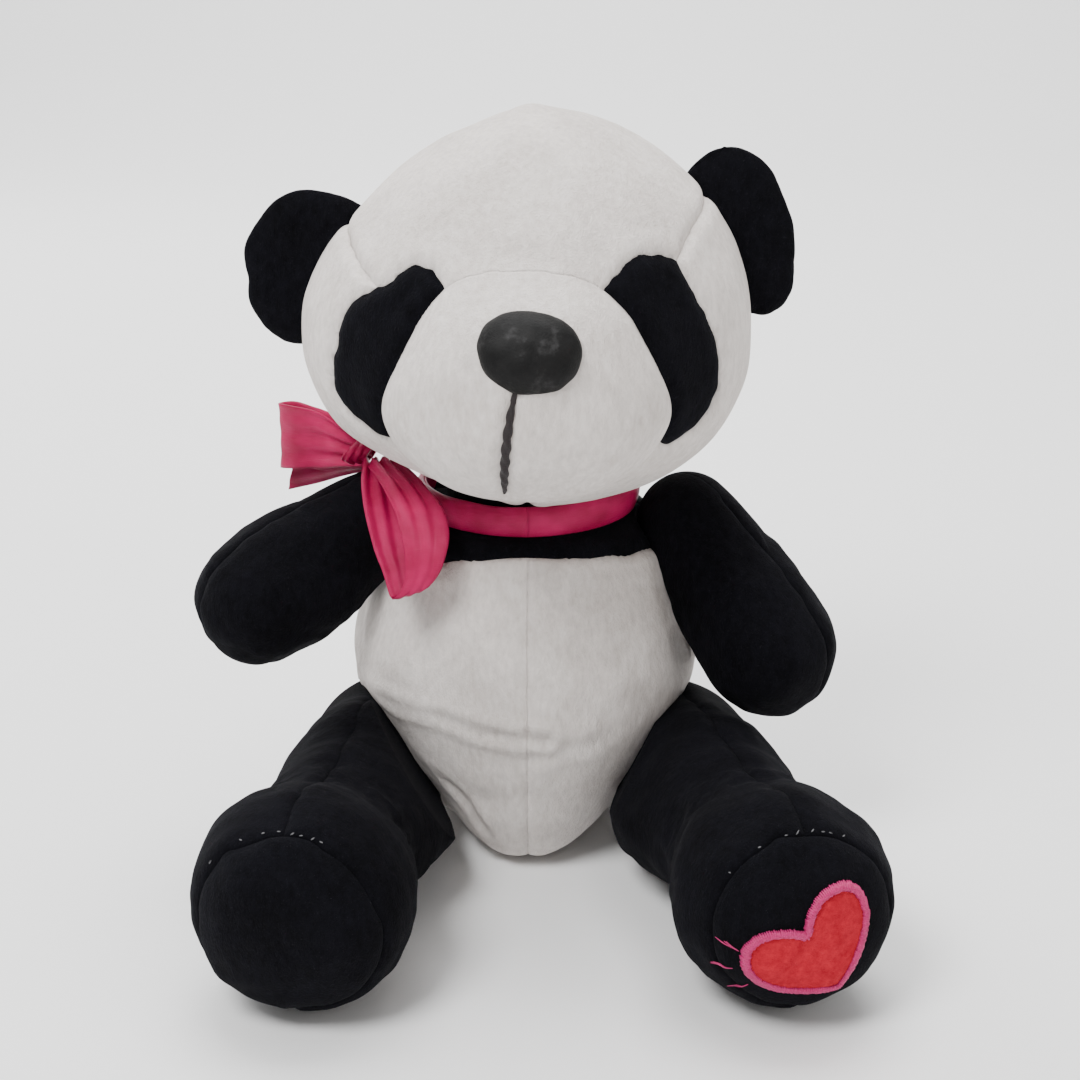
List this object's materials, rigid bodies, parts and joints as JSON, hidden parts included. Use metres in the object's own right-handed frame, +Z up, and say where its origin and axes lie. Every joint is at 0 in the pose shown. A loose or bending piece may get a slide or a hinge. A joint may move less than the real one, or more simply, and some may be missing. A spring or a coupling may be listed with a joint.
{
  "type": "plush toy bear",
  "caption": "Seated black and white plush bear with a domed muzzle, a satin neck bow and a heart on one sole; soft limbs, ears and head move.",
  "frame": {"origin": "centre of the seat face on the floor plane, under the torso", "axes": "+Z up, -Y the way the toy faces, +X towards the toy's own left"},
  "size_m": [0.2075, 0.1958, 0.2355],
  "materials": {
    "white_plush": "short pile",
    "black_plush": "short pile",
    "stuffing": "polyester fill",
    "nose_velour": "soft napped velour",
    "mouth_thread": "thick embroidery thread",
    "satin_ribbon": "satin",
    "heart_felt": "napped",
    "heart_thread": "satin stitch",
    "closing_thread": "thread"
  },
  "bodies": {
    "torso": {"chest_yoke": "black_plush", "belly_left": "white_plush", "belly_right": "white_plush", "back_left": "black_plush", "back_right": "black_plush", "torso_stuffing": "stuffing", "closing_stitches": "closing_thread", "ribbon_band": "satin_ribbon", "bow_knot": "satin_ribbon", "bow_loop_side": "satin_ribbon", "bow_loop_front": "satin_ribbon"},
    "neck": {"neck_plug": "stuffing"},
    "head": {"forehead": "white_plush", "cheek_left": "white_plush", "cheek_right": "white_plush", "head_back_left": "white_plush", "head_back_right": "white_plush", "muzzle": "white_plush", "eye_patch_left": "black_plush", "eye_patch_right": "black_plush", "nose_cover": "nose_velour", "nose_pad": "stuffing", "mouth_stitch": "mouth_thread", "head_stuffing": "stuffing"},
    "ear_left": {"ear_left_front": "black_plush", "ear_left_back": "black_plush"},
    "shoulder_left": {"shoulder_left_plug": "stuffing"},
    "arm_left": {"arm_left_outer": "black_plush", "arm_left_inner": "black_plush", "arm_left_stuffing": "stuffing"},
    "hip_left": {"hip_left_plug": "stuffing"},
    "leg_left": {"leg_left_outer": "black_plush", "leg_left_inner": "black_plush", "leg_left_stuffing": "stuffing", "sole_left": "black_plush", "heart_patch": "heart_felt", "heart_edging": "heart_thread"},
    "ear_right": {"ear_right_front": "black_plush", "ear_right_back": "black_plush"},
    "shoulder_right": {"shoulder_right_plug": "stuffing"},
    "arm_right": {"arm_right_outer": "black_plush", "arm_right_inner": "black_plush", "arm_right_stuffing": "stuffing"},
    "hip_right": {"hip_right_plug": "stuffing"},
    "leg_right": {"leg_right_outer": "black_plush", "leg_right_inner": "black_plush", "leg_right_stuffing": "stuffing", "sole_right": "black_plush"}
  },
  "joints": [
    {"name": "neck_turn", "type": "hinge", "parent": "torso", "child": "neck", "pos_m": [0, -0.008, 0.1165], "axis": [0, 0, 1], "range_deg": [-15, 15], "stiffness_Nm_per_rad": 0.3},
    {"name": "head_nod", "type": "hinge", "parent": "neck", "child": "head", "pos_m": [0, -0.008, 0.1165], "axis": [1, 0, 0], "range_deg": [-12, 3], "stiffness_Nm_per_rad": 0.6},
    {"name": "arm_left_swing", "type": "hinge", "parent": "torso", "child": "shoulder_left", "pos_m": [0.05, -0.009, 0.1055], "axis": [1, 0, 0], "range_deg": [-60, 0], "stiffness_Nm_per_rad": 0.08},
    {"name": "arm_left_raise", "type": "hinge", "parent": "shoulder_left", "child": "arm_left", "pos_m": [0.05, -0.009, 0.1055], "axis": [0, -1, 0], "range_deg": [0, 70], "stiffness_Nm_per_rad": 0.08},
    {"name": "arm_right_swing", "type": "hinge", "parent": "torso", "child": "shoulder_right", "pos_m": [-0.048, -0.009, 0.106], "axis": [1, 0, 0], "range_deg": [-45, 0], "stiffness_Nm_per_rad": 0.08},
    {"name": "arm_right_raise", "type": "hinge", "parent": "shoulder_right", "child": "arm_right", "pos_m": [-0.048, -0.009, 0.106], "axis": [0, 1, 0], "range_deg": [0, 40], "stiffness_Nm_per_rad": 0.08},
    {"name": "leg_left_spread", "type": "hinge", "parent": "torso", "child": "hip_left", "pos_m": [0.048, -0.009, 0.027], "axis": [0, 0, 1], "range_deg": [0, 8], "stiffness_Nm_per_rad": 0.3},
    {"name": "leg_left_lift", "type": "hinge", "parent": "hip_left", "child": "leg_left", "pos_m": [0.048, -0.009, 0.027], "axis": [-0.9754, -0.2203, 0], "range_deg": [0, 5], "stiffness_Nm_per_rad": 0.3},
    {"name": "leg_right_spread", "type": "hinge", "parent": "torso", "child": "hip_right", "pos_m": [-0.046, -0.009, 0.029], "axis": [0, 0, -1], "range_deg": [0, 10], "stiffness_Nm_per_rad": 0.3},
    {"name": "leg_right_lift", "type": "hinge", "parent": "hip_right", "child": "leg_right", "pos_m": [-0.046, -0.009, 0.029], "axis": [-0.9881, 0.1535, 0], "range_deg": [0, 20], "stiffness_Nm_per_rad": 0.3},
    {"name": "ear_left_fold", "type": "hinge", "parent": "head", "child": "ear_left", "pos_m": [0.0655, -0.004, 0.1945], "axis": [0.38, 0, -0.925], "range_deg": [-12, 12], "stiffness_Nm_per_rad": 0.02},
    {"name": "ear_right_fold", "type": "hinge", "parent": "head", "child": "ear_right", "pos_m": [-0.067, -0.004, 0.188], "axis": [0.36, 0, 0.933], "range_deg": [-12, 12], "stiffness_Nm_per_rad": 0.02}
  ]
}
